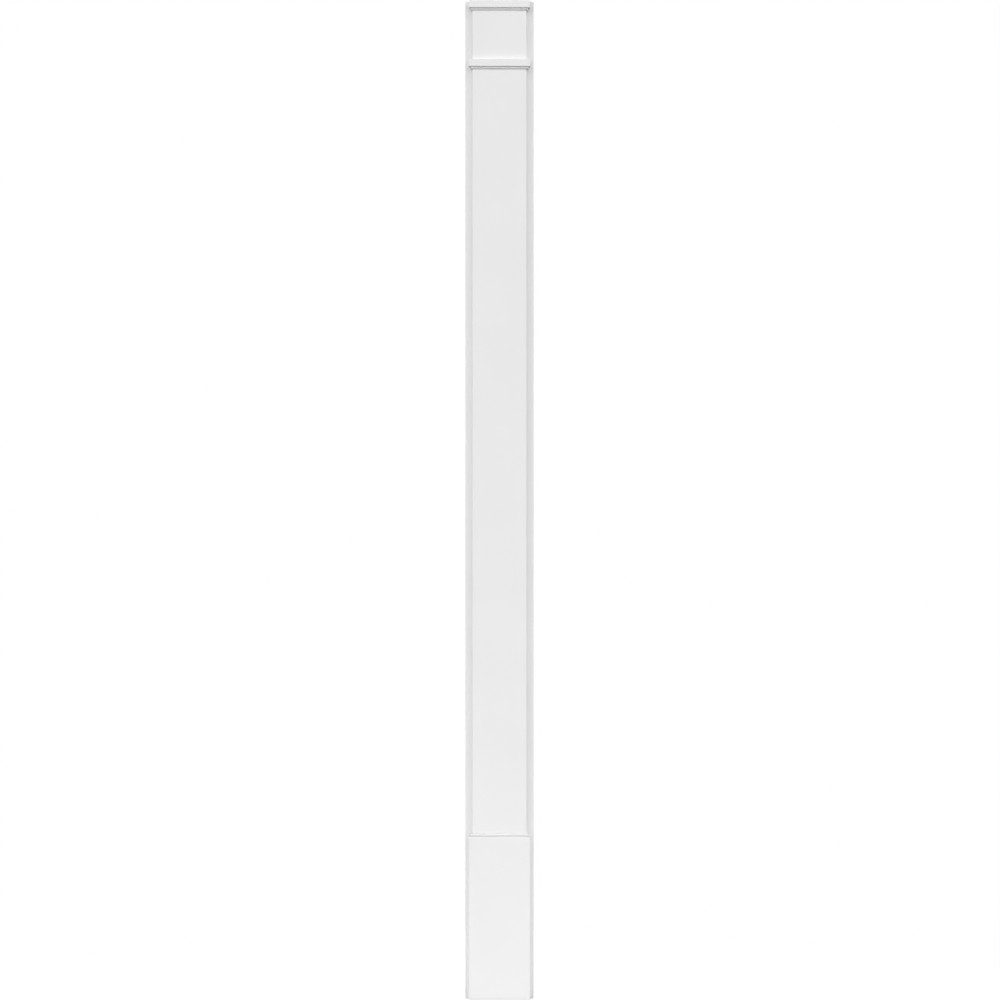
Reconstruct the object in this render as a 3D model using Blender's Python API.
"""A plain pilaster for a wall, with a plinth and a simple capital.

Two flat boards run the whole height: a back board against the wall and a narrower shaft board on it. A
plinth wraps the foot of the shaft on three sides. A neck moulding and a cap moulding, cut from one trim,
wrap its top, and the shaft that shows between them is the frieze. Each trim ends in an ovolo and a bead
where it meets the shaft, and these return along its sides.

Sizes are in metres. The rear face lies on the wall in the plane Y = 0, with the origin at its middle. The
front faces -Y and +Z is up.
"""

import math

import bmesh
import bpy
from mathutils import Matrix, Vector

INCH = 0.0254

# The two boards
HEIGHT = 102 * INCH
SHAFT_WIDTH = 5.5 * INCH
SHAFT_DEPTH = 1.0 * INCH  # from the back board's face to the shaft's face
BACK_THICKNESS = 0.625 * INCH
BACK_LEDGE = 0.375 * INCH  # how far the back board shows beside the plinth and the bands

# The trims around the shaft, each height with its moulding
TRIM_THICKNESS = 0.375 * INCH
PLINTH_HEIGHT = 17 * INCH
CAPITAL_TRIM_HEIGHT = 0.96875 * INCH
NECK_DROP = 6 * INCH  # from the top of the pilaster down to the square edge of its neck

# The mouldings, from a trim's face in to the shaft
PLINTH_OVOLO_HEIGHT = 0.25 * INCH
PLINTH_BEAD_HEIGHT = 0.3125 * INCH
CAPITAL_OVOLO_HEIGHT = 0.09375 * INCH
CAPITAL_BEAD_HEIGHT = 0.1875 * INCH
OVOLO_DEPTH = 0.1875 * INCH  # from a trim's face in to the level of the bead's crown
QUIRK_FALL = 0.01 * INCH  # how much the sunk step between ovolo and bead slopes
OVOLO_STEPS = 8
BEAD_STEPS = 12

# The pieces are glued, and this much stays free between them
GLUE_LINE = 0.0003

# Helpers for the cuts
OVERRUN = 0.02  # how far a cutter runs past what it cuts
WELD_DISTANCE = 0.000001

# Turns that only swap axes, so that no coordinate is rounded
STAND_FACING_FRONT = Matrix(((1, 0, 0, 0), (0, 0, -1, 0), (0, 1, 0, 0), (0, 0, 0, 1)))
STAND_FACING_SIDE = Matrix(((0, 0, -1, 0), (-1, 0, 0, 0), (0, 1, 0, 0), (0, 0, 0, 1)))

TRIM_WIDTH = SHAFT_WIDTH + 2 * TRIM_THICKNESS
BACK_WIDTH = TRIM_WIDTH + 2 * BACK_LEDGE
SHAFT_FACE = BACK_THICKNESS + SHAFT_DEPTH  # distances of the faces from the wall
TRIM_FACE = SHAFT_FACE + TRIM_THICKNESS
FOOT = -HEIGHT / 2
TOP = HEIGHT / 2


def clear_scene():
    """Removes the objects that a new file holds."""
    for thing in list(bpy.data.objects):
        bpy.data.objects.remove(thing, do_unlink=True)


def new_collection(name):
    """A collection of this name in the scene."""
    collection = bpy.data.collections.new(name)
    bpy.context.scene.collection.children.link(collection)
    return collection


def white_pvc(name, shade, roughness):
    """White cellular PVC: neutral, with a dull satin surface."""
    material = bpy.data.materials.new(name)
    material.use_nodes = True
    shader = material.node_tree.nodes["Principled BSDF"]
    shader.inputs["Base Color"].default_value = (shade, shade, shade, 1)
    shader.inputs["Roughness"].default_value = roughness
    shader.inputs["Metallic"].default_value = 0
    return material


def box(name, collection, width, front, rear, low, high):
    """A box centred on X. Its front and rear are distances from the wall, its low and high are heights."""
    mesh = bpy.data.meshes.new(name)
    shape = bmesh.new()
    bmesh.ops.create_cube(shape, size=1)
    bmesh.ops.scale(shape, verts=shape.verts, vec=(width, front - rear, high - low))
    shape.to_mesh(mesh)
    shape.free()
    thing = bpy.data.objects.new(name, mesh)
    thing.location = Vector((0, -(front + rear) / 2, (low + high) / 2))
    collection.objects.link(thing)
    return thing


def prism(name, collection, outline, thickness, turn):
    """A flat outline with an even thickness, stood up by a turn that swaps axes."""
    curve = bpy.data.curves.new(name, "CURVE")
    curve.dimensions = "2D"
    curve.fill_mode = "BOTH"
    curve.extrude = thickness / 2
    spline = curve.splines.new("POLY")
    spline.points.add(len(outline) - 1)
    for point, (across, up) in zip(spline.points, outline):
        point.co = (across, up, 0, 1)
    spline.use_cyclic_u = True
    flat = bpy.data.objects.new(name, curve)
    collection.objects.link(flat)
    bpy.context.view_layer.update()
    mesh = bpy.data.meshes.new_from_object(flat.evaluated_get(bpy.context.evaluated_depsgraph_get()))
    bpy.data.objects.remove(flat)
    shape = bmesh.new()
    shape.from_mesh(mesh)
    bmesh.ops.remove_doubles(shape, verts=shape.verts, dist=WELD_DISTANCE)
    bmesh.ops.transform(shape, matrix=turn, verts=shape.verts)
    bmesh.ops.recalc_face_normals(shape, faces=shape.faces)
    shape.to_mesh(mesh)
    shape.free()
    thing = bpy.data.objects.new(name, mesh)
    collection.objects.link(thing)
    return thing


def as_cutter(thing):
    """Marks a shape that only cuts others."""
    thing.hide_render = True
    thing.display_type = "WIRE"
    return thing


def cut(thing, operation, cutter):
    """Adds a Boolean with a cutter."""
    modifier = thing.modifiers.new(cutter.name, "BOOLEAN")
    modifier.operation = operation
    modifier.solver = "EXACT"
    modifier.object = cutter


def ovolo_and_bead(ovolo_height, bead_height):
    """The moulded edge of a trim, from the end of its plain face in to the shaft.

    Each point is how far it stands outside the shaft, and how far it lies past the plain face. The ovolo
    leaves the face smoothly and ends in a quirk, a narrow sunk step. The bead is a half-round that rises
    from the quirk. Its crown lies as far out as the ovolo's inner edge.
    """
    crown = TRIM_THICKNESS - OVOLO_DEPTH
    bead_radius = (bead_height - QUIRK_FALL) / 2
    bead_start = ovolo_height + QUIRK_FALL
    points = []
    for step in range(OVOLO_STEPS + 1):
        angle = math.pi / 2 * step / OVOLO_STEPS
        points.append((crown + OVOLO_DEPTH * math.cos(angle), ovolo_height * math.sin(angle)))
    for step in range(BEAD_STEPS + 1):
        angle = math.pi * (step / BEAD_STEPS - 0.5)
        outside = crown - bead_radius * (1 - math.cos(angle))
        points.append((outside, bead_start + bead_radius * (1 + math.sin(angle))))
    return points


def trim(name, collection, cutters, channel, start, end, ovolo_height, bead_height):
    """A trim around the shaft, from the height of its square end to that of its moulded end.

    The front view gives it the returns on its sides and the side view gives it the front, so their
    intersection has mitred corners. The channel for the shaft is then cut out of its back.
    """
    up = math.copysign(1, end - start)
    plain_end = abs(end - start) - ovolo_height - bead_height
    edge = [(outside, start + up * (plain_end + past))
            for outside, past in ovolo_and_bead(ovolo_height, bead_height)]
    rear = BACK_THICKNESS + GLUE_LINE

    right = [(TRIM_THICKNESS, start - up * OVERRUN), *edge, (edge[-1][0], end + up * OVERRUN)]
    front_view = [(SHAFT_WIDTH / 2 + outside, height) for outside, height in right]
    front_view += [(-across, height) for across, height in reversed(front_view)]
    thing = prism(name, collection, front_view, 2 * (TRIM_FACE + OVERRUN), STAND_FACING_FRONT)

    side_view = [(rear, start), (TRIM_FACE, start)]
    side_view += [(SHAFT_FACE + outside, height) for outside, height in edge]
    side_view.append((rear, end))
    side = prism(f"{name}_side_view", cutters, side_view, TRIM_WIDTH + 2 * OVERRUN, STAND_FACING_SIDE)
    cut(thing, "INTERSECT", as_cutter(side))
    cut(thing, "DIFFERENCE", channel)
    return thing


def build():
    """Makes the five pieces and hangs them on one empty."""
    clear_scene()
    parts = new_collection("pilaster")
    cutters = new_collection("cutters")
    origin = bpy.data.objects.new("pilaster_origin", None)
    parts.objects.link(origin)

    back_board = box("back_board", parts, BACK_WIDTH, BACK_THICKNESS, 0, FOOT, TOP)
    shaft_board = box(
        "shaft_board", parts, SHAFT_WIDTH, SHAFT_FACE, BACK_THICKNESS + GLUE_LINE, FOOT, TOP
    )
    channel = as_cutter(
        box(
            "shaft_channel",
            cutters,
            SHAFT_WIDTH + 2 * GLUE_LINE,
            SHAFT_FACE + GLUE_LINE,
            -OVERRUN,
            FOOT - OVERRUN,
            TOP + OVERRUN,
        )
    )
    neck_start = TOP - NECK_DROP
    capital_edge = (CAPITAL_OVOLO_HEIGHT, CAPITAL_BEAD_HEIGHT)
    plinth = trim(
        "plinth", parts, cutters, channel,
        FOOT, FOOT + PLINTH_HEIGHT, PLINTH_OVOLO_HEIGHT, PLINTH_BEAD_HEIGHT,
    )
    neck_moulding = trim(
        "neck_moulding", parts, cutters, channel,
        neck_start, neck_start - CAPITAL_TRIM_HEIGHT, *capital_edge,
    )
    cap_moulding = trim(
        "cap_moulding", parts, cutters, channel,
        TOP, TOP - CAPITAL_TRIM_HEIGHT, *capital_edge,
    )

    finishes = {
        back_board: white_pvc("back_board_pvc", 0.84, 0.5),
        shaft_board: white_pvc("shaft_board_pvc", 0.86, 0.45),
        plinth: white_pvc("plinth_pvc", 0.86, 0.45),
        neck_moulding: white_pvc("neck_moulding_pvc", 0.86, 0.42),
        cap_moulding: white_pvc("cap_moulding_pvc", 0.86, 0.42),
    }
    for piece, finish in finishes.items():
        piece.parent = origin
        piece.data.materials.append(finish)


build()
